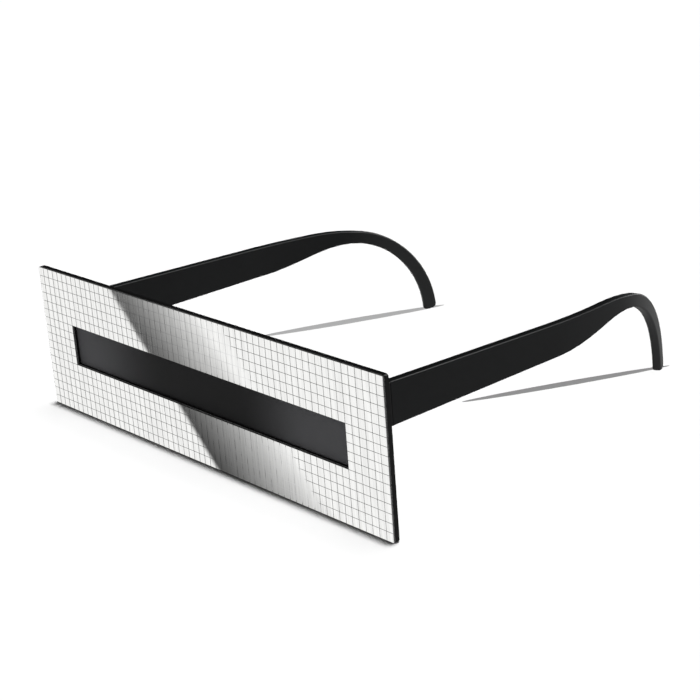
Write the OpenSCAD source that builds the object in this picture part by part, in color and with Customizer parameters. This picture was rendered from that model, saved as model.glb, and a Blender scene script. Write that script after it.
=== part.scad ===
// Mirror mosaic sunglasses: a flat black front plate faced with small mirror tiles, with a long
// narrow slot over a smoke lens, carried by a plain black frame with two folding arms.
// Millimetres. X runs across the front, Y from the front towards the arm tips, Z up.
// The origin is the middle of the front plate's bottom edge, which stands on the ground with the
// two arm tips. Left and right are the wearer's: the left arm is at +X.

/* [Front plate] */
// Width of the front plate
plate_w = 150; // [140:1:170]
// Height of the front plate
plate_h = 42.8; // [40:0.2:56]
// Thickness of the front plate
plate_t = 1.2; // [1:0.1:3]
// Radius of the front plate's corners
plate_corner_r = 0.8; // [0.4:0.1:2]

/* [Slot and lens] */
// Width of the viewing slot
slot_w = 120; // [100:1:124]
// Height of the viewing slot
slot_h = 11.8; // [8:0.2:18]
// Height of the slot's lower edge above the plate's bottom edge
slot_z = 15.4; // [14:0.2:20]
// Thickness of the lens
lens_t = 1.2; // [0.8:0.1:2]
// How far the lens reaches behind the plate all round the slot
lens_lap = 1.8; // [1:0.1:2.4]
// Radius of the lens's corners
lens_corner_r = 1.5; // [0.5:0.1:3]
// How far the lens's raised middle stands forward into the slot
lens_rise = 0.6; // [0.1:0.05:0.9]
// Gap round the lens in its recess and in the slot
lens_clear = 0.1; // [0.05:0.01:0.3]

/* [Mirror mosaic] */
// Thickness of the black film under the tiles
film_t = 0.15; // [0.1:0.01:0.4]
// Thickness of a mirror tile
tile_t = 0.4; // [0.3:0.05:1.2]
// Distance from one tile to the next
tile_pitch = 2.4; // [2.4:0.1:6]
// Gap between two tiles
tile_gap = 0.12; // [0.1:0.01:0.5]
// Film left bare along the edges of the plate and of the slot
film_edge = 0.2; // [0.1:0.01:0.5]

/* [Inner frame] */
// Thickness of the frame behind the plate
frame_t = 2.4; // [2:0.1:4]
// Height of the frame's lower edge above the ground
frame_z = 9.6; // [8.6:0.1:10.6]
// Radius of the frame's corners
frame_corner_r = 2; // [1:0.1:4]
// Width of the frame beside its window, out to the arms' outer faces
frame_side = 3.6; // [3:0.1:6]
// Distance from the plate's middle plane back to the hinge axis
hinge_y = 11.1; // [10:0.1:14]

/* [Nose rest] */
// Width of the nose saddle on the frame
saddle_w = 34; // [30:1:44]
// Height of the saddle's lower edge above the ground
saddle_z = 2.4; // [1:0.1:4]
// Thickness of the two horns that carry the nose pads
horn_t = 2; // [1.6:0.1:3]
// Height of a horn
horn_h = 9; // [7:0.1:10]
// Distance from the nose pad's back to the middle of the front
pad_x = 10.4; // [9:0.1:14]
// Distance from the plate's middle plane back to the middle of a nose pad
pad_y = 7.8; // [7:0.1:9]
// Height of the middle of a nose pad
pad_z = 8.9; // [8:0.1:9.4]
// Length of a nose pad from front to back
pad_l = 6.4; // [5:0.1:8]
// Height of a nose pad
pad_h = 11; // [9:0.1:12]
// Thickness of a nose pad at its middle
pad_t = 2; // [1.4:0.1:3]
// Radius of the nose pad's crowned face
pad_crown_r = 14; // [10:0.5:30]
// Angle that the pads open towards the face
pad_toe_angle = 25; // [10:1:30]
// Angle that the pads lean together towards their tops
pad_lean_angle = 12; // [5:1:18]
// Radius of the peg on the back of a nose pad
peg_r = 0.8; // [0.5:0.05:1.1]
// Length of that peg
peg_l = 1.4; // [1:0.1:1.5]
// Gap round the peg in its hole
peg_clear = 0.05; // [0.02:0.01:0.1]

/* [Arms] */
// Thickness of an arm
arm_t = 2.6; // [2.4:0.1:4]
// Height of an arm at its hinge
arm_h = 11.5; // [10:0.1:14]
// Height of an arm where it starts to narrow
waist_h = 9.3; // [7:0.1:11]
// Height of the ear hook where it starts to turn down
ear_h = 3.8; // [3.4:0.1:6]
// Height of the ear hook at its tip
tip_h = 4.4; // [3.8:0.1:6]
// Distance along the arm from the hinge to where it starts to narrow
waist_at = 59.4; // [50:0.2:72]
// Length over which the arm narrows to the ear hook
narrow_l = 40; // [20:0.2:40]
// Angle that the arm's top edge slopes down
drop_angle = 1.6; // [0:0.1:4]
// Distance along the top edge from the hinge to the crown of the hook
crown_at = 81.2; // [76:0.2:96]
// Radius of the crown
crown_r = 86; // [60:1:120]
// Angle that the crown turns through
crown_angle = 12; // [6:0.5:16]
// Radius of the ear hook's back edge
hook_r = 32.4; // [28:0.2:40]
// Angle that the ear hook turns through
hook_angle = 71.4; // [50:0.1:74]
// Radius of the back corner of the tip
tip_r = 1.5; // [1.5:0.1:2.6]
// Radius of the front corner of the tip
toe_r = 0.5; // [0.3:0.05:0.8]
// Distance from the hinge to where the arm bends inwards
bend_at = 56.4; // [40:0.2:70]
// Radius of the inward bend
bend_r = 152; // [140:1:300]
// Radius of the arm's long edges up to the ear hook
arm_round = 0.4; // [0.2:0.05:1]
// Radius of those edges at the tip
tip_round = 0.9; // [0.2:0.05:1]
// Gap between an arm and the frame at the hinge joint
joint_gap = 0.15; // [0.1:0.01:0.4]
// Radius of the steel wire inside an arm
core_r = 0.6; // [0.4:0.05:0.7]
// Length of that wire
core_l = 46; // [20:1:50]
// Gap round the wire in its bore
core_clear = 0.03; // [0.02:0.01:0.1]
// Depth of the wire's end below the arm's front end
core_set = 0.5; // [0.2:0.1:1]

/* [Hinges] */
// Outer radius of a hinge barrel
barrel_r = 1.1; // [1:0.05:1.4]
// Height of one of the three knuckles of a hinge
knuckle_h = 2; // [1.6:0.1:2.4]
// Gap between two knuckles
knuckle_gap = 0.1; // [0.06:0.01:0.2]
// Gap between a barrel and the plastic beside it
barrel_clear = 0.15; // [0.1:0.01:0.3]
// Thickness of a hinge leaf
leaf_t = 0.8; // [0.6:0.05:0.9]
// Length of a hinge leaf from the hinge axis
leaf_l = 6.4; // [5.8:0.1:6.8]
// Radius of the hinge screw
pivot_r = 0.6; // [0.4:0.05:0.7]
// Running gap of the hinge screw in the arm's knuckle
pivot_run = 0.04; // [0.02:0.01:0.08]
// Gap of the hinge screw in the frame's knuckles
pivot_seat = 0.01; // [0.01:0.01:0.03]
// Radius of the hinge screw's head
pivot_head_r = 1; // [0.8:0.05:1.05]
// Height of the hinge screw's head
pivot_head_h = 0.6; // [0.4:0.05:0.9]
// Radius of a leaf screw
fixing_r = 0.45; // [0.35:0.05:0.5]
// Depth of a leaf screw in the plastic
fixing_l = 1.7; // [1.2:0.1:1.9]
// Radius of a leaf screw's head
fixing_head_r = 0.85; // [0.6:0.05:0.9]
// Height of a leaf screw's head
fixing_head_h = 0.35; // [0.25:0.05:0.4]
// Distance of the leaf screws from the hinge axis
fixing_at = 4.2; // [3.8:0.1:4.6]
// Distance between the two screws of a leaf
fixing_span = 3.8; // [3.4:0.1:4.4]
// Width of the driver slots in the screw heads
driver_w = 0.3; // [0.2:0.05:0.4]
// Depth of the driver slots
driver_d = 0.2; // [0.1:0.05:0.2]

/* [Hidden] */
$fn = 48;
DEGREE = 180 / PI;
// Small overlap that lets two solids of one piece join, or a cut pass right through
join = 0.5;

// The stack from the front: tiles, film, plate, lens and frame
plate_front = -plate_t / 2;
plate_back = plate_t / 2;
film_front = plate_front - film_t;
frame_back = plate_back + frame_t;

// The arm's outer face, inner face and the hinge axis, across the front
arm_x = slot_w / 2 + frame_side;
arm_in = arm_x - arm_t;
axis_x = arm_in - barrel_clear - barrel_r;
frame_w = 2 * arm_x;

// Where the arm's top edge passes from its straight run to the crown and from there to the hook
crown_u = crown_at * cos(drop_angle);
crown_z = -crown_at * sin(drop_angle);
hook_a = drop_angle + crown_angle;
hook_at = crown_at + crown_r * crown_angle / DEGREE;
hook_u = crown_u + crown_r * (sin(hook_a) - sin(drop_angle));
hook_z = crown_z - crown_r * (cos(drop_angle) - cos(hook_a));
hook_end = hook_at + hook_r * hook_angle / DEGREE;

// Stations of the arm's sweep: steps along the straight, the narrowing, the crown, the hook, the tip
straight_steps = 4;
narrow_steps = 10;
hook_steps = 20;
tip_steps = 6;
corner_steps = 3;
ring_points = 4 * (corner_steps + 1);

// A point of the arm's top edge: distance along the plan, height from the hinge, downward angle
function edge(t) =
    t < crown_at ? [t * cos(drop_angle), -t * sin(drop_angle), drop_angle]
    : t < hook_at ? crown_edge(drop_angle + (t - crown_at) / crown_r * DEGREE)
    : hook_edge(hook_a + (t - hook_at) / hook_r * DEGREE);
function crown_edge(a) =
    [crown_u + crown_r * (sin(a) - sin(drop_angle)), crown_z - crown_r * (cos(drop_angle) - cos(a)), a];
function hook_edge(a) =
    [hook_u + hook_r * (sin(a) - sin(hook_a)), hook_z - hook_r * (cos(hook_a) - cos(a)), a];

// The arm's plan: how far its outer face has moved inwards and back at a distance along it
function plan(u) =
    u < bend_at ? [0, u, 0]
    : let (a = (u - bend_at) / bend_r * DEGREE) [bend_r * (1 - cos(a)), bend_at + bend_r * sin(a), a];

// Height of the arm at a distance along its top edge, easing from the waist to the hook
function ease(k) = k * k * (3 - 2 * k);
function hook_share(t) = min(1, max(0, t - hook_at) / (hook_end - hook_at));
function height(t) =
    t < waist_at ? arm_h + (waist_h - arm_h) * t / waist_at
    : waist_h + (ear_h - waist_h) * ease(min(1, (t - waist_at) / narrow_l)) + (tip_h - ear_h) * hook_share(t);

// Lean of the arm's section: upright at the hinge joint, square to the top edge from the waist on
function lean(t) = edge(t)[2] * min(1, (t - joint_gap / 2) / waist_at);

// A point of the arm: distance along the top edge, depth in from the outer face, depth below the top
function arm_point(t, across, down) =
    let (e = edge(t), a = lean(t), p = plan(e[0] - down * sin(a)))
    [arm_x - p[0] - across * cos(p[2]), p[1] - across * sin(p[2]), e[1] - down * cos(a)];

// A rounded rectangular section of the arm, from one depth below the top edge to another
function ring(t, from, to) =
    let (edge_r = arm_round + (tip_round - arm_round) * hook_share(t),
         r = min(edge_r, (to - from) / 2.1, arm_t / 2.1))
    [for (k = [0 : 3], j = [0 : corner_steps])
        let (a = 90 * (k + j / corner_steps),
             across = (k == 0 || k == 3) ? arm_t - r : r,
             down = (k < 2) ? to - r : from + r)
        arm_point(t, across + r * cos(a), down + r * sin(a))];

// How much shorter the arm's section is near the end of the tip, for its front corner's radius
function toe_cut(a) = a > tip_r - toe_r ? toe_r - sqrt(max(0, toe_r * toe_r - pow(a - tip_r + toe_r, 2))) : 0;

arm_stations = concat(
    [for (i = [0 : straight_steps - 1]) joint_gap / 2 + i * bend_at / straight_steps],
    [for (i = [0 : narrow_steps - 1]) bend_at + i * (hook_at - bend_at) / narrow_steps],
    [for (i = [0 : hook_steps]) hook_at + i * (hook_end - hook_at) / hook_steps]);
arm_rings = concat(
    [for (t = arm_stations) ring(t, 0, height(t))],
    [for (i = [1 : tip_steps]) let (a = tip_r * sin(90 * i / tip_steps), back = tip_r * (1 - cos(90 * i / tip_steps)))
        ring(hook_end + a, back, tip_h - toe_cut(a))]);
arm_points = [for (r = arm_rings) for (p = r) p];

// The arm's height at the hinge is what puts its tip on the ground
arm_top = -min([for (p = arm_points) p[2]]);
hinge_z = arm_top - arm_h / 2;
hinge_h = 3 * knuckle_h + 2 * knuckle_gap;

// Draws its children on the wearer's left, or mirrored on the right
module on_side(side) {
    if (side < 0) mirror([1, 0, 0]) children();
    else children();
}

// A rectangle with round corners, centred across and standing on the X axis
module round_rect(w, h, r) {
    translate([-w / 2 + r, 0]) square([w - 2 * r, h]);
    translate([-w / 2, r]) square([w, h - 2 * r]);
    for (x = [-w / 2 + r, w / 2 - r], y = [r, h - r]) translate([x, y]) circle(r);
}

// An upright oval with round ends, centred on the origin
module oval(w, h) {
    translate([-w / 2, (w - h) / 2]) square([w, h - w]);
    for (y = [(w - h) / 2, (h - w) / 2]) translate([0, y]) circle(w / 2);
}

// Extrudes a shape drawn in X and Z from one distance behind the front to another
module sheet(from, to) {
    translate([0, to, 0]) rotate([90, 0, 0]) linear_extrude(to - from) children();
}

// Extrudes a shape drawn in Y and Z from one distance across the front to another
module slab(from, to) {
    translate([from, 0, 0]) rotate([90, 0, 90]) linear_extrude(to - from) children();
}

// The viewing slot's opening, between two distances behind the front
module slot(from, to) {
    sheet(from, to) translate([-slot_w / 2, slot_z]) square([slot_w, slot_h]);
}

// A field of whole mirror tiles that fills a rectangle, with half a gap left round it
module tile_field(x, z, w, h) {
    columns = max(1, round(w / tile_pitch));
    rows = max(1, round(h / tile_pitch));
    step_x = w / columns;
    step_z = h / rows;
    for (i = [0 : columns - 1], j = [0 : rows - 1])
        translate([x + i * step_x + tile_gap / 2, film_front - tile_t, z + j * step_z + tile_gap / 2])
            cube([step_x - tile_gap, tile_t, step_z - tile_gap]);
}

module mirror_tiles() {
    margin = film_edge - tile_gap / 2;
    low = margin;
    slot_low = slot_z - margin;
    slot_top = slot_z + slot_h + margin;
    high = plate_h - margin;
    inner = slot_w / 2 + margin;
    outer = plate_w / 2 - margin;
    color("whitesmoke") {
        tile_field(-inner, slot_top, 2 * inner, high - slot_top);
        tile_field(-inner, low, 2 * inner, slot_low - low);
        for (x = [-outer, inner]) {
            tile_field(x, slot_top, outer - inner, high - slot_top);
            tile_field(x, slot_low, outer - inner, slot_top - slot_low);
            tile_field(x, low, outer - inner, slot_low - low);
        }
    }
}

module mosaic_film() {
    trim = film_edge / 2;
    color("dimgray") difference() {
        sheet(film_front, plate_front)
            translate([0, trim]) round_rect(plate_w - 2 * trim, plate_h - 2 * trim, plate_corner_r);
        slot(film_front - join, plate_front + join);
    }
}

module front_plate() {
    color("black") difference() {
        sheet(plate_front, plate_back) round_rect(plate_w, plate_h, plate_corner_r);
        slot(plate_front - join, plate_back + join);
    }
}

module lens_shape(grow) {
    translate([0, slot_z - lens_lap - grow])
        round_rect(slot_w + 2 * (lens_lap + grow), slot_h + 2 * (lens_lap + grow), lens_corner_r);
}

module smoke_lens() {
    color([0.15, 0.15, 0.16, 0.8]) union() {
        sheet(plate_back, plate_back + lens_t) lens_shape(0);
        sheet(plate_back - lens_rise, plate_back + lens_t / 2)
            translate([-slot_w / 2 + lens_clear, slot_z + lens_clear])
                square([slot_w - 2 * lens_clear, slot_h - 2 * lens_clear]);
    }
}

// Moves its children to the middle of the left nose pad's back, turned with the pad
module at_pad() {
    translate([pad_x, pad_y, pad_z]) rotate([0, -pad_lean_angle, -pad_toe_angle]) children();
}

// A horn of the frame that carries a nose pad; its foot stays inside the saddle
module horn() {
    reach = pad_y - plate_back;
    foot = plate_back + frame_t / 2;
    intersection() {
        at_pad() slab(0, horn_t)
            translate([(pad_l / 2 - reach) / 2, -horn_h / 2]) round_rect(pad_l / 2 + reach, horn_h, horn_t);
        translate([0, foot, 0]) cube([saddle_w, pad_y + pad_l, plate_h]);
    }
}

module inner_frame() {
    end_l = hinge_y - joint_gap / 2 - plate_back;
    color("black") difference() {
        union() {
            sheet(plate_back, frame_back)
                translate([0, frame_z]) round_rect(frame_w, arm_top - frame_z, frame_corner_r);
            sheet(plate_back, frame_back)
                translate([0, saddle_z]) round_rect(saddle_w, slot_z - saddle_z, frame_corner_r);
            for (side = [1, -1]) on_side(side) {
                sheet(plate_back, plate_back + end_l)
                    translate([arm_x - arm_t / 2, arm_top - arm_h]) round_rect(arm_t, arm_h, arm_round);
                horn();
            }
        }
        slot(plate_back - join, frame_back + join);
        sheet(plate_back - join, plate_back + lens_t + lens_clear / 2) lens_shape(lens_clear);
        for (side = [1, -1]) on_side(side) {
            at_pad() translate([-join, 0, 0]) rotate([0, 90, 0]) cylinder(r = peg_r + peg_clear, h = peg_l + 2 * join);
            fixing_holes(-1);
        }
    }
}

module nose_pad(side) {
    color("gainsboro") on_side(side) at_pad() {
        intersection() {
            slab(-pad_t, 0) oval(pad_l, pad_h);
            translate([pad_crown_r - pad_t, 0, 0]) sphere(pad_crown_r, $fn = 144);
        }
        rotate([0, 90, 0]) translate([0, 0, -join]) cylinder(r = peg_r, h = peg_l + join);
    }
}

// Blind holes for the two screws of a leaf, on the frame (way -1) or on the arm (way 1)
module fixing_holes(way) {
    for (z = [-fixing_span / 2, fixing_span / 2])
        translate([arm_in - join, hinge_y + way * fixing_at, hinge_z + z])
            rotate([0, 90, 0]) cylinder(r = fixing_r, h = fixing_l + join);
}

// A cylinder on the hinge axis, from one knuckle's lower face to another's upper face
module axis_cylinder(r, from, to) {
    base = hinge_z - hinge_h / 2;
    step = knuckle_h + knuckle_gap;
    translate([axis_x, hinge_y, base + from * step])
        cylinder(r = r, h = (to - from) * step + knuckle_h);
}

// A hinge leaf: a plate screwed to the plastic, with a tongue to each of its knuckles
module hinge_leaf(way, knuckles, bore_r) {
    base = hinge_z - hinge_h / 2;
    step = knuckle_h + knuckle_gap;
    clear = barrel_r + barrel_clear;
    plate_from = way > 0 ? hinge_y + clear : hinge_y - leaf_l;
    tongue_from = way > 0 ? hinge_y : hinge_y - clear - join;
    difference() {
        union() {
            translate([arm_in - leaf_t, plate_from, base]) cube([leaf_t, leaf_l - clear, hinge_h]);
            for (k = knuckles) {
                translate([arm_in - leaf_t, tongue_from, base + k * step])
                    cube([leaf_t - barrel_clear, clear + join, knuckle_h]);
                axis_cylinder(barrel_r, k, k);
            }
        }
        translate([0, 0, -join]) axis_cylinder(bore_r, 0, 3);
        for (z = [-fixing_span / 2, fixing_span / 2])
            translate([arm_in - leaf_t - join, hinge_y + way * fixing_at, hinge_z + z])
                rotate([0, 90, 0]) cylinder(r = fixing_r, h = leaf_t + 2 * join);
    }
}

module front_leaf(side) {
    color("silver") on_side(side) hinge_leaf(-1, [0, 2], pivot_r + pivot_seat);
}

module temple_leaf(side) {
    color("silver") on_side(side) hinge_leaf(1, [1], pivot_r + pivot_run);
}

module leaf_screws(side, way) {
    head = arm_in - leaf_t - fixing_head_h;
    color("silver") on_side(side) for (z = [-fixing_span / 2, fixing_span / 2])
        translate([head, hinge_y + way * fixing_at, hinge_z + z]) difference() {
            rotate([0, 90, 0]) union() {
                cylinder(r = fixing_head_r, h = fixing_head_h);
                cylinder(r = fixing_r, h = fixing_head_h + leaf_t + fixing_l);
            }
            translate([-join, -fixing_head_r - join, -driver_w / 2])
                cube([join + driver_d, 2 * (fixing_head_r + join), driver_w]);
        }
}

module hinge_screw(side) {
    top = hinge_z + hinge_h / 2;
    color("silver") on_side(side) difference() {
        union() {
            axis_cylinder(pivot_r, 0, 2);
            translate([axis_x, hinge_y, top]) cylinder(r = pivot_head_r, h = pivot_head_h);
        }
        translate([axis_x - pivot_head_r - join, hinge_y - driver_w / 2, top + pivot_head_h - driver_d])
            cube([2 * (pivot_head_r + join), driver_w, driver_d + join]);
    }
}

// The swept body of the left arm, with its front end at the hinge joint
module arm_body() {
    last = len(arm_rings) - 1;
    walls = [for (i = [0 : last - 1], j = [0 : ring_points - 1])
        let (a = i * ring_points + j, b = i * ring_points + (j + 1) % ring_points)
        each [[a, b, a + ring_points], [b, b + ring_points, a + ring_points]]];
    front = [for (j = [ring_points - 1 : -1 : 0]) j];
    end = [for (j = [0 : ring_points - 1]) last * ring_points + j];
    translate([0, hinge_y, arm_top]) polyhedron(arm_points, concat([front], walls, [end]));
}

// The wire's axis: a bore or a wire along the straight run of the arm
module core_rod(r, from, to) {
    translate([arm_x - arm_t / 2, hinge_y + from, hinge_z]) rotate([-90, 0, 0]) cylinder(r = r, h = to - from);
}

module temple(side) {
    color("black") on_side(side) difference() {
        arm_body();
        fixing_holes(1);
        core_rod(core_r + core_clear, joint_gap / 2 - join, core_set + core_l + core_clear);
    }
}

module temple_core(side) {
    color("gray") on_side(side) core_rod(core_r, core_set, core_set + core_l);
}

mirror_tiles();
mosaic_film();
front_plate();
smoke_lens();
inner_frame();
nose_pad(1);  // left_nose_pad
nose_pad(-1);  // right_nose_pad
front_leaf(1);  // left_front_leaf
front_leaf(-1);  // right_front_leaf
leaf_screws(1, -1);  // left_front_leaf_screws
leaf_screws(-1, -1);  // right_front_leaf_screws
hinge_screw(1);  // left_hinge_screw
hinge_screw(-1);  // right_hinge_screw
temple(1);  // left_temple
temple(-1);  // right_temple
temple_core(1);  // left_temple_core
temple_core(-1);  // right_temple_core
temple_leaf(1);  // left_temple_leaf
temple_leaf(-1);  // right_temple_leaf
leaf_screws(1, 1);  // left_temple_leaf_screws
leaf_screws(-1, 1);  // right_temple_leaf_screws
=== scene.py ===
import math
import random

import bmesh
import bpy
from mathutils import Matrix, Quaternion, Vector

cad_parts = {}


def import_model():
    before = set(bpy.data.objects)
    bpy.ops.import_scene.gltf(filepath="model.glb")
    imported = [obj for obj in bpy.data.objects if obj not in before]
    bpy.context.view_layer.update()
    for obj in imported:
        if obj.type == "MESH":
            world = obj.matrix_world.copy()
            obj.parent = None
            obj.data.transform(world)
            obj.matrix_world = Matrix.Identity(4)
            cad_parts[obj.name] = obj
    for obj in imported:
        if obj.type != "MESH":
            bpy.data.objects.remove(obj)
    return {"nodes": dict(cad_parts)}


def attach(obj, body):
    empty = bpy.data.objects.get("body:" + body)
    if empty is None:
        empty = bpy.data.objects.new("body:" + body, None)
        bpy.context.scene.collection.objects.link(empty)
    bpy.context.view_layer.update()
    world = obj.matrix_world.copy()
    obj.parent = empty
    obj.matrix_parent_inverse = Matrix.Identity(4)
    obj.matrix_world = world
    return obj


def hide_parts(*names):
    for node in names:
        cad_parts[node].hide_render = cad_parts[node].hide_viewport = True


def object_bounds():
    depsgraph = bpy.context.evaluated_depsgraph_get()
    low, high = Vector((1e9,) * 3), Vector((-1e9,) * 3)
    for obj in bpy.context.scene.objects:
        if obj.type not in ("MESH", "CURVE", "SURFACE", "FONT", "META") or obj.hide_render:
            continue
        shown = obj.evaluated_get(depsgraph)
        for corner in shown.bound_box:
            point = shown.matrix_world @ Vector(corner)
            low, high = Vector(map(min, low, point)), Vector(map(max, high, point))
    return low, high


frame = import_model()
cad_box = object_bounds()

# Lengths are in metres. Left and right are the wearer's, and left is towards +X.
MM = 0.001
NODES = frame["nodes"]

# Tones are written as the picture shows them, and this power turns one into an amount of light
DISPLAY_POWER = 2.2

# Camera, worked out from the edges of the front, the slot and the arms in the photograph: the picture's
# width and the focal length in pixels, the sensor's width in millimetres, and angles in degrees
FRAME_PX = 700
FOCAL_PX = 1686.7
SENSOR = 36
CAMERA_AT = Vector((348.4, -240.2, 176.9)) * MM
VIEW_AZIMUTH = 49.95
VIEW_ELEVATION = 19.31
VIEW_ROLL = -4.33
VIEW_NEAR = 0.01
VIEW_FAR = 20

# The floor: how far it reaches in metres, its colour, and how bright reflections see it
FLOOR_REACH = 3.0
FLOOR_COLOUR = (0.86, 0.86, 0.86)
FLOOR_REFLECTED = 0.98

# A painted reflection: a dark patch of floor that only reflections see, which the mirror tiles show as a
# dark band. Its sharp side has a start, a direction, a reach and a slight softness, and across from there
# it fades to nearly white. At the near and the far end of that side the fade takes its own distance and
# starts from its own tone.
BAND_START = Vector((5.6, -1.15)) * MM
BAND_DIRECTION = Vector((-0.909, -0.417))
BAND_REACH = 183 * MM
BAND_SOFT = 0.8 * MM
BAND_FADE_NEAR = 20.9 * MM
BAND_FADE_FAR = 23.3 * MM
BAND_SHADE_NEAR = 0.281
BAND_SHADE_FAR = 0.377
BAND_SHADE_END = 0.955

# The slanted streak where the joints between the tiles glow with a painted reflection, the tone of the
# dark
# patch beside them: its two sides, each by its place at the plate's bottom edge and its slope, and the
# tone that it goes from and to
STREAK_FROM = 6.7 * MM
STREAK_FROM_SLOPE = -1.005
STREAK_TO = 49.7 * MM
STREAK_TO_SLOPE = -0.876
STREAK_SOFT = 0.8 * MM
STREAK_DARK = 0.29
STREAK_PALE = 0.885

# Inside the streak the upright joints show as broken dark lines: how much of their painted glow is
# missing at most, on the streak's dark and pale side, and the size and stretch of the noise that breaks
# them.
# A joint is upright where its surface faces sideways by more than the last value.
JOINT_MISSING_DARK = 0.85
JOINT_MISSING_PALE = 0.35
JOINT_BREAK = 1.4 * MM
JOINT_STRETCH = (1, 1, 0.5)
SIDEWAYS = 0.1

# The heights between which the tiles have joints, and the slot's middle and half height with its rims
JOINTS_FROM = 0.7 * MM
JOINTS_TO = 42.1 * MM
SLOT_MIDDLE = 21.3 * MM
SLOT_REACH = 6.6 * MM

# How wide the tiles' dark cut edges are: upright ones at the left and right end, and level ones
EDGE_LEFT = 0.014 * MM
EDGE_RIGHT = 0.058 * MM
EDGE_LEVEL = 0.003 * MM

# How far behind the front of its solid a tile's face lies, and how far back its cut edges reach
FACE_DEPTH = 0.005 * MM
EDGE_DEPTH = 0.02 * MM

# How much the tiles lean by chance, as a standard deviation, and the seed of that chance
TILE_LEAN = math.radians(0.03)
TILE_SEED = 11

# Vertices closer than this are one corner of a tile, and tiles are sorted by places with these decimals
SAME_CORNER = 1e-6
SORT_DECIMALS = 5

# The parts of a noise texture's values that are spread over a range: nearly all of them for a soft
# change, and fewer for a clearer one
NOISE_SOFT = (0.3, 0.7)
NOISE_CLEAR = (0.35, 0.65)
NOISE_BROKEN = (0.4, 0.6)

# In the materials a plain colour or roughness beside a range is on the shader's own socket. It stands in
# for the pattern where that is left out, and the range is what the pattern shows.

# The tiles' mirror: how much light it gives back, its tint, and its faint upright streaks
MIRROR = 0.92
MIRROR_TINT = (1.0, 1.0, 0.985)
MIRROR_DARK = 0.93
MIRROR_PALE = 1.04
MIRROR_STREAK = 0.7 * MM
MIRROR_STRETCH = (1, 1, 0.05)
MIRROR_ROUGHNESS = 0.04
MIRROR_ROUGHNESS_RANGE = (0.02, 0.06)
MIRROR_RELIEF = 0.0006 * MM

# The tiles' cut edges: plain colour, the range of greys that their grit gives them, and the grit's size
CUT_COLOUR = (0.15, 0.155, 0.15)
CUT_GREYS = (0.1, 0.3)
CUT_ROUGHNESS = 0.5
CUT_GRIT = 0.12 * MM

# The film between the tiles: plain colour, the range of greys that its dust gives it, and the dust's size
FILM_COLOUR = (0.05, 0.05, 0.05)
FILM_GREYS = (0.04, 0.16)
FILM_ROUGHNESS = 0.7
FILM_DUST = 0.4 * MM

# The weak gloss of cut edges and film, and the relief of their grit and dust and of the pads
DULL_GLOSS = 0.2
FINE_RELIEF = 0.01 * MM

# The lens's own dark colour in the middle and, as a painted reflection, its paler colour towards its
# ends, where that changes, and its gloss and cloudiness
LENS_DARK = (0.0104, 0.0104, 0.0108)
LENS_PAINTED_PALE = (0.072, 0.072, 0.076)
LENS_DARK_TO = 13 * MM
LENS_PAINTED_PALE_RIGHT = -54 * MM
LENS_PAINTED_PALE_LEFT = 46 * MM
LENS_CURVE = 1.5
LENS_ROUGHNESS = 0.5
LENS_GLOSS = 0.2
LENS_GLOSS_ROUGHNESS = (0.34, 0.42)
LENS_CLOUD = 9 * MM
LENS_RELIEF = 0.002 * MM

# Black plastics: darkest and palest colour, roughness, and how strong their gloss is
PLATE_PLASTIC = ((0.003, 0.003, 0.0031), (0.006, 0.006, 0.0061), 0.42, 0.2)
FRAME_PLASTIC = ((0.004, 0.0041, 0.0043), (0.008, 0.0082, 0.0085), 0.45, 0.25)
ARM_PLASTIC = ((0.004, 0.0044, 0.0048), (0.008, 0.0087, 0.0093), 0.42, 0.22)
PLASTIC_CLOUD = 14 * MM
PLASTIC_GRAIN = 0.35 * MM
PLASTIC_RELIEF = 0.004 * MM
PLASTIC_UNEVEN = 0.06

# How far back the arms' gloss starts to grow towards their hooks, where it has grown, and to how much
HOOK_GLOSS_FROM = 98 * MM
HOOK_GLOSS_TO = 122 * MM
HOOK_GLOSS = 0.5

# The nose pads' silicone: colour, how much light goes through, how strongly it bends, and its haze
PAD_COLOUR = (0.85, 0.86, 0.84)
PAD_CLEAR = 0.75
PAD_IOR = 1.41
PAD_ROUGHNESS = 0.35
PAD_ROUGHNESS_RANGE = (0.3, 0.45)
PAD_HAZE = 0.8 * MM

# Steels: colour, roughness, and how their fine lines are stretched
HINGE_STEEL = ((0.62, 0.62, 0.63), 0.3, (1, 0.1, 1))
SCREW_STEEL = ((0.66, 0.66, 0.67), 0.22, (1, 1, 1))
WIRE_STEEL = ((0.5, 0.5, 0.5), 0.35, (1, 0.1, 1))
STEEL_LINE = 0.06 * MM
STEEL_CLOUD = 1.5 * MM
STEEL_RELIEF = 0.003 * MM
STEEL_WORN = 0.8
STEEL_SMOOTHER = 0.08
STEEL_ROUGHER = 0.1

# How far the pieces' edges are rounded, in how many steps, and from which angle on an edge counts
PLATE_EDGE = 0.1 * MM
LENS_EDGE = 0.08 * MM
FRAME_EDGE = 0.15 * MM
PAD_EDGE = 0.25 * MM
HINGE_EDGE = 0.05 * MM
FIXING_EDGE = 0.04 * MM
EDGE_STEPS = 2
PAD_STEPS = 3
EDGE_ANGLE = math.radians(35)

# Vertices of a CAD node closer than this are joined, and large faces set the shading by this weight
WELD = 0.002 * MM
FLAT_WEIGHT = 100

# The painted arm shadows: back and front end and width, in millimetres, and their grey
LEFT_SHADOW = ((49.9, 134.0), (22.0, 74.6), 3.7, 0.235)
RIGHT_SHADOW = ((-46.6, 135.0), (-72.4, 74.6), 4.7, 0.36)

# How far above the floor they lie, the form of their outline, and how close vertices are joined
SHADOW_LIFT = 0.01 * MM
SHADOW_SKEW = 1.03
SHADOW_BLUNT = 0.5
SHADOW_STEPS = 40
SHADOW_WELD = 1e-7

# The studio's brightness as it lights the materials, as they reflect it and as the camera sees it
WORLD_LIGHT = 0.045
WORLD_REFLECTED = 0.07
WORLD_SEEN = 1.05

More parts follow.
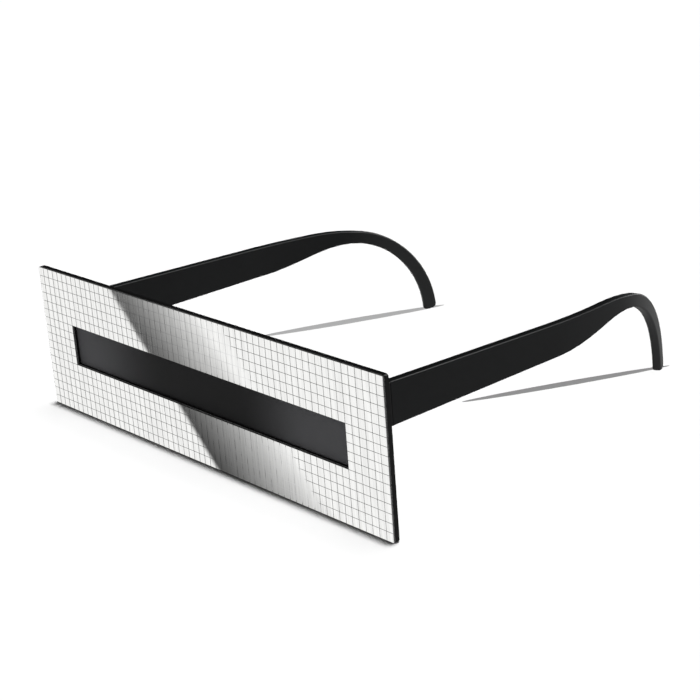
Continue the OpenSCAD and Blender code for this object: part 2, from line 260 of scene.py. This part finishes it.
# The lamps on the pieces: place, target and width, in metres, and power in watts
KEY = ((0.25, 0.55, 0.75), (0, 0.05, 0.02), 0.35, 3.0)
FILL = ((-0.5, -0.3, 0.6), (0, 0.06, 0.02), 0.6, 3.0)
EDGE_LIGHT = ((0.34, 0.6, 0.72), (0.06, 0.06, 0.03), 0.3, 12.0)
BACK_LIGHT = ((0.12, 1.0, 0.12), (0.05, 0.12, 0.02), 0.4, 6.0)

# The two suns that only the floor takes, one almost overhead and a faint wide one lower down, both a
# little from behind: elevation and width in degrees, and strength
FLOOR_SUN = (87.6, 3.8, 3.0)
FLOOR_GLOW = (79.5, 21.0, 0.62)


def new_mesh(name, bm):
    """A new object from a bmesh, linked to the scene."""
    mesh = bpy.data.meshes.new(name)
    bm.to_mesh(mesh)
    bm.free()
    obj = bpy.data.objects.new(name, mesh)
    bpy.context.scene.collection.objects.link(obj)
    return obj


class Graph:
    """A short way to write a material's nodes."""

    def __init__(self, name):
        self.material = bpy.data.materials.new(name)
        self.material.use_nodes = True
        self.tree = self.material.node_tree
        self.tree.nodes.clear()
        self.out = self.add("OutputMaterial")

    def add(self, kind, **settings):
        """A new node with those settings."""
        node = self.tree.nodes.new("ShaderNode" + kind)
        for key, value in settings.items():
            setattr(node, key, value)
        return node

    def link(self, source, socket):
        """Links an output to an input."""
        self.tree.links.new(source, socket)

    def principled(self, colour, roughness, **values):
        """A principled shader with plain values on its own sockets."""
        shader = self.add("BsdfPrincipled")
        shader.inputs["Base Color"].default_value = (*colour, 1)
        shader.inputs["Roughness"].default_value = roughness
        for key, value in values.items():
            shader.inputs[key.replace("_", " ")].default_value = value
        self.link(shader.outputs[0], self.out.inputs["Surface"])
        return shader

    def place(self, scale=(1, 1, 1)):
        """Object coordinates, stretched."""
        where = self.add("TexCoord")
        mapping = self.add("Mapping")
        mapping.inputs["Scale"].default_value = scale
        self.link(where.outputs["Object"], mapping.inputs["Vector"])
        return mapping.outputs["Vector"]

    def axes(self, vector):
        """A vector's X, Y and Z."""
        node = self.add("SeparateXYZ")
        self.link(vector, node.inputs["Vector"])
        return node.outputs["X"], node.outputs["Y"], node.outputs["Z"]

    def noise(self, size, stretch=(1, 1, 1), detail=2.0):
        """Noise with features of about that size in metres."""
        texture = self.add("TexNoise")
        texture.inputs["Scale"].default_value = 1 / size
        texture.inputs["Detail"].default_value = detail
        self.link(self.place(stretch), texture.inputs["Vector"])
        return texture.outputs["Fac"]

    def ramp(self, source, low, high, start=0.0, end=1.0, kind="LINEAR"):
        """Maps the values from start to end to a range."""
        node = self.add("MapRange", interpolation_type=kind)
        node.inputs["From Min"].default_value = start
        node.inputs["From Max"].default_value = end
        node.inputs["To Min"].default_value = low
        node.inputs["To Max"].default_value = high
        self.link(source, node.inputs["Value"])
        return node.outputs["Result"]

    def tint(self, source, dark, light):
        """Mixes two colours by a value."""
        node = self.add("Mix", data_type="RGBA")
        node.inputs["A"].default_value = (*dark, 1)
        node.inputs["B"].default_value = (*light, 1)
        self.link(source, node.inputs["Factor"])
        return node.outputs["Result"]

    def choose(self, share, otherwise, chosen):
        """Mixes two shaders by a value and puts them on the surface."""
        mix = self.add("MixShader")
        self.link(share, mix.inputs["Fac"])
        self.link(otherwise.outputs[0], mix.inputs[1])
        self.link(chosen.outputs[0], mix.inputs[2])
        self.link(mix.outputs[0], self.out.inputs["Surface"])

    def bump(self, shader, source, height, sockets=("Normal",)):
        """Adds relief of that height in metres to a shader's normals."""
        node = self.add("Bump")
        node.inputs["Distance"].default_value = height
        self.link(source, node.inputs["Height"])
        for socket in sockets:
            self.link(node.outputs["Normal"], shader.inputs[socket])

    def maths(self, kind, first, second=0.0):
        """A maths node on values or numbers."""
        node = self.add("Math", operation=kind)
        for socket, value in zip(node.inputs, (first, second)):
            if isinstance(value, (int, float)):
                socket.default_value = value
            else:
                self.link(value, socket)
        return node.outputs[0]


def moulded_plastic(name, dark, light, roughness, gloss, hook_gloss=None):
    """Black plastic with a thin weak gloss over a fine moulded grain and faint cloudiness."""
    g = Graph(name)
    shader = g.principled(dark, roughness, Specular_IOR_Level=0, Coat_Weight=gloss)
    cloud = g.noise(PLASTIC_CLOUD, detail=3)
    grain = g.noise(PLASTIC_GRAIN)
    g.link(g.tint(cloud, dark, light), shader.inputs["Base Color"])
    mean = g.maths("ADD", g.maths("MULTIPLY", cloud, 0.5), g.maths("MULTIPLY", grain, 0.5))
    coat = g.ramp(mean, roughness - PLASTIC_UNEVEN, roughness + PLASTIC_UNEVEN, *NOISE_SOFT)
    g.link(coat, shader.inputs["Coat Roughness"])
    g.bump(shader, grain, PLASTIC_RELIEF, ("Normal", "Coat Normal"))
    if hook_gloss:
        _, y, _ = g.axes(g.place())
        grown = g.ramp(y, gloss, hook_gloss, HOOK_GLOSS_FROM, HOOK_GLOSS_TO, "SMOOTHSTEP")
        g.link(grown, shader.inputs["Coat Weight"])
    return g.material


def broken_uprights(g, share):
    """How much of the painted glow the joints keep: one on level joints, and less on upright ones, in
    uneven stretches.
    """
    sideways, _, _ = g.axes(g.add("NewGeometry").outputs["True Normal"])
    upright = g.maths("GREATER_THAN", g.maths("ABSOLUTE", sideways), SIDEWAYS)
    stretches = g.ramp(g.noise(JOINT_BREAK, JOINT_STRETCH), 1, 0, *NOISE_BROKEN)
    most = g.ramp(share, JOINT_MISSING_DARK, JOINT_MISSING_PALE)
    missing = g.maths("MULTIPLY", upright, g.maths("MULTIPLY", stretches, most))
    return g.maths("MAXIMUM", g.maths("SUBTRACT", 1, missing), 0)


def on_joints(g, z):
    """One at the heights where the tiles have joints, and zero on the rims of the plate and the slot."""
    above = g.maths("GREATER_THAN", z, JOINTS_FROM)
    below = g.maths("LESS_THAN", z, JOINTS_TO)
    from_slot = g.maths("ABSOLUTE", g.maths("SUBTRACT", z, SLOT_MIDDLE))
    off_slot = g.maths("GREATER_THAN", from_slot, SLOT_REACH)
    return g.maths("MULTIPLY", g.maths("MULTIPLY", above, below), off_slot)


def paint_joint_reflection(g, shader, plain):
    """Paints a reflection on the joints between the tiles in the slanted streak: there they lose their
    own grey and glow with the tone of the reflection beside them.

    Outside it they have the plain grey.
    """
    x, _, z = g.axes(g.place())
    from_side = g.maths("ADD", g.maths("MULTIPLY", z, STREAK_FROM_SLOPE), STREAK_FROM)
    to_side = g.maths("ADD", g.maths("MULTIPLY", z, STREAK_TO_SLOPE), STREAK_TO)
    past_from = g.maths("SUBTRACT", x, from_side)
    before_to = g.maths("SUBTRACT", to_side, x)
    share = g.maths("DIVIDE", past_from, g.maths("ADD", past_from, before_to))
    tone = g.maths("POWER", g.ramp(share, STREAK_DARK, STREAK_PALE), DISPLAY_POWER)
    entered = g.ramp(past_from, 0, 1, -STREAK_SOFT, STREAK_SOFT)
    not_left = g.ramp(before_to, 0, 1, -STREAK_SOFT, STREAK_SOFT)
    painted_joints = g.maths("MULTIPLY", g.maths("MULTIPLY", entered, not_left), on_joints(g, z))
    g.link(g.maths("MULTIPLY", plain, g.maths("SUBTRACT", 1, painted_joints)), shader.inputs["Base Color"])
    shader.inputs["Emission Color"].default_value = (1, 1, 1, 1)
    # The painted reflection: the joints glow with the patch's tone
    glow = g.maths("MULTIPLY", g.maths("MULTIPLY", painted_joints, tone), broken_uprights(g, share))
    g.link(glow, shader.inputs["Emission Strength"])


def mirror_glass():
    """Silvered glass: a clean mirror with faint upright streaks in its reflection."""
    g = Graph("mirror_glass")
    shader = g.principled((MIRROR, MIRROR, MIRROR), MIRROR_ROUGHNESS, Metallic=1.0)
    streak = g.noise(MIRROR_STREAK, MIRROR_STRETCH, detail=3)
    dark = tuple(MIRROR_DARK * MIRROR * c for c in MIRROR_TINT)
    light = tuple(MIRROR_PALE * MIRROR * c for c in MIRROR_TINT)
    g.link(g.tint(g.ramp(streak, 0, 1, *NOISE_CLEAR), dark, light), shader.inputs["Base Color"])
    g.link(g.ramp(streak, *MIRROR_ROUGHNESS_RANGE, *NOISE_SOFT), shader.inputs["Roughness"])
    g.bump(shader, streak, MIRROR_RELIEF)
    return g.material


def cut_glass():
    """The dark cut edges of the tiles, with a painted reflection glowing on them inside the streak."""
    g = Graph("cut_glass")
    shader = g.principled(CUT_COLOUR, CUT_ROUGHNESS, Specular_IOR_Level=DULL_GLOSS)
    grit = g.noise(CUT_GRIT)
    paint_joint_reflection(g, shader, g.ramp(grit, *CUT_GREYS, *NOISE_SOFT))
    g.bump(shader, grit, FINE_RELIEF)
    return g.material


def backing_film():
    """The dark film between the tiles, with a painted reflection glowing on it inside the streak."""
    g = Graph("backing_film")
    shader = g.principled(FILM_COLOUR, FILM_ROUGHNESS, Specular_IOR_Level=DULL_GLOSS)
    dust = g.noise(FILM_DUST, detail=4)
    paint_joint_reflection(g, shader, g.ramp(dust, *FILM_GREYS, *NOISE_SOFT))
    g.bump(shader, dust, FINE_RELIEF)
    return g.material


def smoke_acrylic():
    """Dark lens, painted paler from the middle to both ends as a soft painted reflection."""
    g = Graph("smoke_acrylic")
    shader = g.principled(LENS_DARK, LENS_ROUGHNESS, Specular_IOR_Level=0, Coat_Weight=LENS_GLOSS)
    x, _, _ = g.axes(g.place())
    # A painted reflection: paler towards both ends, darkest in the middle
    right_end = g.ramp(x, 0, 1, -LENS_DARK_TO, LENS_PAINTED_PALE_RIGHT, "SMOOTHSTEP")
    left_end = g.ramp(x, 0, 1, LENS_DARK_TO, LENS_PAINTED_PALE_LEFT, "SMOOTHSTEP")
    share = g.maths("POWER", g.maths("ADD", right_end, left_end), LENS_CURVE)
    g.link(g.tint(share, LENS_DARK, LENS_PAINTED_PALE), shader.inputs["Base Color"])
    cloud = g.noise(LENS_CLOUD, detail=3)
    g.link(g.ramp(cloud, *LENS_GLOSS_ROUGHNESS, *NOISE_SOFT), shader.inputs["Coat Roughness"])
    g.bump(shader, cloud, LENS_RELIEF, ("Normal", "Coat Normal"))
    return g.material


def clear_silicone():
    """Soft translucent silicone."""
    g = Graph("clear_silicone")
    shader = g.principled(PAD_COLOUR, PAD_ROUGHNESS, Transmission_Weight=PAD_CLEAR, IOR=PAD_IOR)
    haze = g.noise(PAD_HAZE)
    g.link(g.ramp(haze, *PAD_ROUGHNESS_RANGE, *NOISE_SOFT), shader.inputs["Roughness"])
    g.bump(shader, haze, FINE_RELIEF)
    return g.material


def steel(name, colour, roughness, stretch):
    """Steel with fine lines, drawn out by the stretch, and faint worn clouds."""
    g = Graph(name)
    shader = g.principled(colour, roughness, Metallic=1.0)
    lines = g.noise(STEEL_LINE, stretch, detail=3)
    cloud = g.noise(STEEL_CLOUD)
    worn = tuple(STEEL_WORN * c for c in colour)
    g.link(g.tint(cloud, worn, colour), shader.inputs["Base Color"])
    drawn = g.ramp(lines, roughness - STEEL_SMOOTHER, roughness + STEEL_ROUGHER, *NOISE_SOFT)
    g.link(drawn, shader.inputs["Roughness"])
    g.bump(shader, lines, STEEL_RELIEF)
    return g.material


def dress(node, material, width=0.0, steps=EDGE_STEPS):
    """Gives a CAD node its material, edges rounded by a width, and clean shading."""
    obj = NODES[node]
    obj.data.materials.clear()
    obj.data.materials.append(material)
    obj.data.shade_smooth()
    weld = obj.modifiers.new("joined_faces", "WELD")
    weld.merge_threshold = WELD
    if width:
        edges = obj.modifiers.new("soft_edges", "BEVEL")
        edges.width = width
        edges.segments = steps
        edges.limit_method = "ANGLE"
        edges.angle_limit = EDGE_ANGLE
    split = obj.modifiers.new("sharp_edges", "EDGE_SPLIT")
    split.split_angle = EDGE_ANGLE
    split.use_edge_sharp = False
    normals = obj.modifiers.new("flat_faces", "WEIGHTED_NORMAL")
    normals.weight = FLAT_WEIGHT
    normals.keep_sharp = True
    return obj


def loose_boxes(obj):
    """The lowest and highest corner of each separate solid of a mesh, row by row from the bottom."""
    bm = bmesh.new()
    bm.from_mesh(obj.data)
    bmesh.ops.remove_doubles(bm, verts=bm.verts, dist=SAME_CORNER)
    waiting = set(bm.verts)
    boxes = []
    while waiting:
        stack = [waiting.pop()]
        island = []
        while stack:
            v = stack.pop()
            island.append(v.co.copy())
            for e in v.link_edges:
                other = e.other_vert(v)
                if other in waiting:
                    waiting.remove(other)
                    stack.append(other)
        low = Vector(min(c[k] for c in island) for k in range(3))
        high = Vector(max(c[k] for c in island) for k in range(3))
        boxes.append((low, high))
    bm.free()
    boxes.sort(key=lambda b: (round(b[0].z, SORT_DECIMALS), round(b[0].x, SORT_DECIMALS)))
    return boxes


def add_tile(bm, low, high, tilt_x, tilt_z, edge):
    """One mirror tile with slanted cut edges and a face that leans very slightly."""
    mid = (low + high) / 2
    corners = [(low.x, low.z), (high.x, low.z), (high.x, high.z), (low.x, high.z)]
    back = [bm.verts.new((x, high.y, z)) for x, z in corners]
    shoulder = [bm.verts.new((x, low.y + EDGE_DEPTH, z)) for x, z in corners]
    face = []
    for x, z in corners:
        inner_x = x + (edge if x < mid.x else -edge)
        inner_z = z + (EDGE_LEVEL if z < mid.z else -EDGE_LEVEL)
        lean = tilt_x * (inner_x - mid.x) + tilt_z * (inner_z - mid.z)
        face.append(bm.verts.new((inner_x, low.y + FACE_DEPTH + lean, inner_z)))
    top = bm.faces.new(face)
    top.material_index = 0
    for i in range(4):
        j = (i + 1) % 4
        slope = bm.faces.new((shoulder[i], shoulder[j], face[j], face[i]))
        slope.material_index = 1
        side = bm.faces.new((back[i], back[j], shoulder[j], shoulder[i]))
        side.material_index = 1
    rear = bm.faces.new(back[::-1])
    rear.material_index = 1


def mosaic():
    """All the mirror tiles, each where its CAD solid is."""
    chance = random.Random(TILE_SEED)
    right_end = cad_box[0][0]
    left_end = cad_box[1][0]
    bm = bmesh.new()
    for low, high in loose_boxes(NODES["mirror_tiles"]):
        share = (left_end - (low.x + high.x) / 2) / (left_end - right_end)
        edge = EDGE_LEFT + (EDGE_RIGHT - EDGE_LEFT) * share
        add_tile(bm, low, high, chance.gauss(0, TILE_LEAN), chance.gauss(0, TILE_LEAN), edge)
    obj = new_mesh("mosaic_tiles", bm)
    obj.data.materials.append(mirror_glass())
    obj.data.materials.append(cut_glass())
    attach(obj, "front")
    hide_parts("mirror_tiles")
    return obj


def floor_across(g, x, y):
    """Distances on the floor from the dark patch's sharp side, and along that side."""
    offset_x = g.maths("SUBTRACT", x, BAND_START.x)
    offset_y = g.maths("SUBTRACT", y, BAND_START.y)
    across = g.maths(
        "SUBTRACT",
        g.maths("MULTIPLY", offset_y, BAND_DIRECTION.x),
        g.maths("MULTIPLY", offset_x, BAND_DIRECTION.y),
    )
    along = g.maths(
        "ADD",
        g.maths("MULTIPLY", offset_x, BAND_DIRECTION.x),
        g.maths("MULTIPLY", offset_y, BAND_DIRECTION.y),
    )
    return across, along


def floor_material():
    """A white floor; reflections see a dark soft-edged patch painted on it, a painted reflection for the
    mirror tiles.
    """
    g = Graph("studio_floor")
    paper = g.add("BsdfDiffuse")
    paper.inputs["Color"].default_value = (*FLOOR_COLOUR, 1)
    x, y, _ = g.axes(g.add("NewGeometry").outputs["Position"])
    across, along = floor_across(g, x, y)
    length = g.ramp(along, BAND_FADE_NEAR, BAND_FADE_FAR, 0.0, BAND_REACH)
    start = g.ramp(along, BAND_SHADE_NEAR, BAND_SHADE_FAR, 0.0, BAND_REACH)
    fade = g.add("Clamp")
    g.link(g.maths("DIVIDE", across, length), fade.inputs["Value"])
    rise = g.maths("MULTIPLY", g.maths("SUBTRACT", BAND_SHADE_END, start), fade.outputs["Result"])
    tone = g.maths("ADD", start, rise)
    # The painted reflection: the dark patch's tone as reflections see it
    painted_reflection_tone = g.maths("DIVIDE", g.maths("POWER", tone, DISPLAY_POWER), MIRROR)
    inside = g.ramp(across, 0, 1, -BAND_SOFT, BAND_SOFT, "SMOOTHSTEP")
    before_front = g.maths("LESS_THAN", y, 0.0)
    both = g.add("Mix", data_type="FLOAT")
    both.inputs["A"].default_value = FLOOR_REFLECTED
    g.link(g.maths("MULTIPLY", inside, before_front), both.inputs["Factor"])
    g.link(painted_reflection_tone, both.inputs["B"])
    glow = g.add("Emission")
    g.link(both.outputs["Result"], glow.inputs["Strength"])
    g.choose(g.add("LightPath").outputs["Is Glossy Ray"], paper, glow)
    return g.material


def floor():
    """A large pale floor."""
    bm = bmesh.new()
    corners = ((-1, -1), (1, -1), (1, 1), (-1, 1))
    bm.faces.new([bm.verts.new((x * FLOOR_REACH, y * FLOOR_REACH, 0)) for x, y in corners])
    obj = new_mesh("floor", bm)
    obj.data.materials.append(floor_material())
    return obj


def shadow_material(name, grey):
    """Plain grey behind the front, and clear before it, for when the arm is folded."""
    g = Graph(name)
    shade = g.add("BsdfDiffuse")
    shade.inputs["Color"].default_value = (grey, grey, grey, 1)
    _, y, _ = g.axes(g.add("NewGeometry").outputs["Position"])
    g.choose(g.maths("GREATER_THAN", y, 0.0), g.add("BsdfTransparent"), shade)
    return g.material


def arm_shadow(name, arm, back, front, width, grey):
    """A slim shadow on the floor below an arm, from behind its tip forwards, that goes with the arm."""
    start = Vector(back) * MM
    run = Vector(front) * MM - start
    across = Vector((-run.y, run.x)).normalized() * width * MM / 2
    left = []
    right = []
    bm = bmesh.new()
    for i in range(SHADOW_STEPS + 1):
        k = (1 - math.cos(math.pi * i / SHADOW_STEPS)) / 2
        middle = start + run * k
        half = across * math.sin(math.pi * k ** SHADOW_SKEW) ** SHADOW_BLUNT
        left.append(bm.verts.new((middle.x + half.x, middle.y + half.y, SHADOW_LIFT)))
        right.append(bm.verts.new((middle.x - half.x, middle.y - half.y, SHADOW_LIFT)))
    for i in range(SHADOW_STEPS):
        bm.faces.new((left[i], left[i + 1], right[i + 1], right[i]))
    bmesh.ops.remove_doubles(bm, verts=bm.verts, dist=SHADOW_WELD)
    obj = new_mesh(name, bm)
    obj.data.materials.append(shadow_material(name, grey))
    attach(obj, arm)
    return obj


def world():
    """White behind everything the camera sees, and a dim studio for the light and reflections."""
    scene_world = bpy.data.worlds.new("studio")
    bpy.context.scene.world = scene_world
    scene_world.use_nodes = True
    tree = scene_world.node_tree
    tree.nodes.clear()
    out = tree.nodes.new("ShaderNodeOutputWorld")
    path = tree.nodes.new("ShaderNodeLightPath")

    def background(strength):
        shader = tree.nodes.new("ShaderNodeBackground")
        shader.inputs["Color"].default_value = (1, 1, 1, 1)
        shader.inputs["Strength"].default_value = strength
        return shader.outputs[0]

    def choose(ray, otherwise, chosen):
        mix = tree.nodes.new("ShaderNodeMixShader")
        tree.links.new(path.outputs[ray], mix.inputs["Fac"])
        tree.links.new(otherwise, mix.inputs[1])
        tree.links.new(chosen, mix.inputs[2])
        return mix.outputs[0]

    lit = choose("Is Glossy Ray", background(WORLD_LIGHT), background(WORLD_REFLECTED))
    tree.links.new(choose("Is Camera Ray", lit, background(WORLD_SEEN)), out.inputs["Surface"])


def new_light(name, kind, direction, power):
    """A light of that kind that shines in a direction, linked to the scene."""
    data = bpy.data.lights.new(name, kind)
    data.energy = power
    obj = bpy.data.objects.new(name, data)
    bpy.context.scene.collection.objects.link(obj)
    obj.rotation_mode = "QUATERNION"
    obj.rotation_quaternion = direction.to_track_quat("-Z", "Y")
    return obj


def area_light(name, place, target, size, power, receivers):
    """A soft square light aimed at a point, for the receivers alone."""
    obj = new_light(name, "AREA", Vector(target) - Vector(place), power)
    obj.location = place
    obj.data.shape = "SQUARE"
    obj.data.size = size
    obj.light_linking.receiver_collection = receivers
    return obj


def floor_sun(name, elevation, width, power, blockers, receivers):
    """A sun from behind for the receivers alone, in which the blockers throw their shadow forwards."""
    tilt = math.radians(90 - elevation)
    obj = new_light(name, "SUN", Vector((0, -math.sin(tilt), -math.cos(tilt))), power)
    obj.data.angle = math.radians(width)
    obj.light_linking.blocker_collection = blockers
    obj.light_linking.receiver_collection = receivers


def collection(name, objects):
    """A collection used only to link lights to objects."""
    group = bpy.data.collections.new(name)
    for obj in objects:
        group.objects.link(obj)
    return group


def lights(ground, plates, tiles, others):
    """Soft lights for the pieces, two of them without diffuse light, and the floor's own suns."""
    floor_only = collection("floor_takes", ground)
    cast_by_front = collection("front_casts", plates)
    pieces_only = collection("pieces_take", [tiles] + others)
    area_light("key", *KEY, pieces_only)
    no_mirrors = collection("all_but_tiles_take", others)
    area_light("fill", *FILL, no_mirrors)
    edge = area_light("edge_light", *EDGE_LIGHT, pieces_only)
    back = area_light("back_light", *BACK_LIGHT, pieces_only)
    for light in (edge, back):
        light.visible_diffuse = False
    floor_sun("floor_sun", *FLOOR_SUN, cast_by_front, floor_only)
    floor_sun("floor_glow", *FLOOR_GLOW, cast_by_front, floor_only)


def camera():
    """The photograph's camera."""
    data = bpy.data.cameras.new("camera")
    data.sensor_width = SENSOR
    data.lens = FOCAL_PX / FRAME_PX * SENSOR
    data.clip_start = VIEW_NEAR
    data.clip_end = VIEW_FAR
    obj = bpy.data.objects.new("camera", data)
    bpy.context.scene.collection.objects.link(obj)
    azimuth = math.radians(VIEW_AZIMUTH)
    elevation = math.radians(VIEW_ELEVATION)
    forward = Vector((
        -math.sin(azimuth) * math.cos(elevation),
        math.cos(azimuth) * math.cos(elevation),
        -math.sin(elevation),
    ))
    obj.location = CAMERA_AT
    obj.rotation_mode = "QUATERNION"
    roll = Quaternion((0, 0, 1), math.radians(VIEW_ROLL))
    obj.rotation_quaternion = forward.to_track_quat("-Z", "Y") @ roll
    bpy.context.scene.camera = obj


def main():
    """Dresses the CAD nodes, adds the tiles, and sets the studio around them."""
    bpy.context.scene.view_settings.view_transform = "Standard"
    black_plate = moulded_plastic("black_plate", *PLATE_PLASTIC)
    black_frame = moulded_plastic("black_frame", *FRAME_PLASTIC)
    black_arm = moulded_plastic("black_arm", *ARM_PLASTIC, HOOK_GLOSS)
    hinge_steel = steel("hinge_steel", *HINGE_STEEL)
    screw_steel = steel("screw_steel", *SCREW_STEEL)
    wire_steel = steel("wire_steel", *WIRE_STEEL)
    silicone = clear_silicone()

    tiles = mosaic()
    film = dress("mosaic_film", backing_film())
    plate = dress("front_plate", black_plate, PLATE_EDGE)
    lens = dress("smoke_lens", smoke_acrylic(), LENS_EDGE)
    others = [film, plate, lens, dress("inner_frame", black_frame, FRAME_EDGE)]
    for side in ("left", "right"):
        others += [
            dress(side + "_temple", black_arm),
            dress(side + "_nose_pad", silicone, PAD_EDGE, PAD_STEPS),
            dress(side + "_front_leaf", hinge_steel, HINGE_EDGE),
            dress(side + "_temple_leaf", hinge_steel, HINGE_EDGE),
            dress(side + "_front_leaf_screws", screw_steel, FIXING_EDGE),
            dress(side + "_temple_leaf_screws", screw_steel, FIXING_EDGE),
            dress(side + "_hinge_screw", screw_steel, HINGE_EDGE),
            dress(side + "_temple_core", wire_steel),
        ]

    ground = [
        floor(),
        arm_shadow("left_arm_shadow", "left_arm", *LEFT_SHADOW),
        arm_shadow("right_arm_shadow", "right_arm", *RIGHT_SHADOW),
    ]
    world()
    lights(ground, [tiles, film, plate], tiles, others)
    camera()


main()
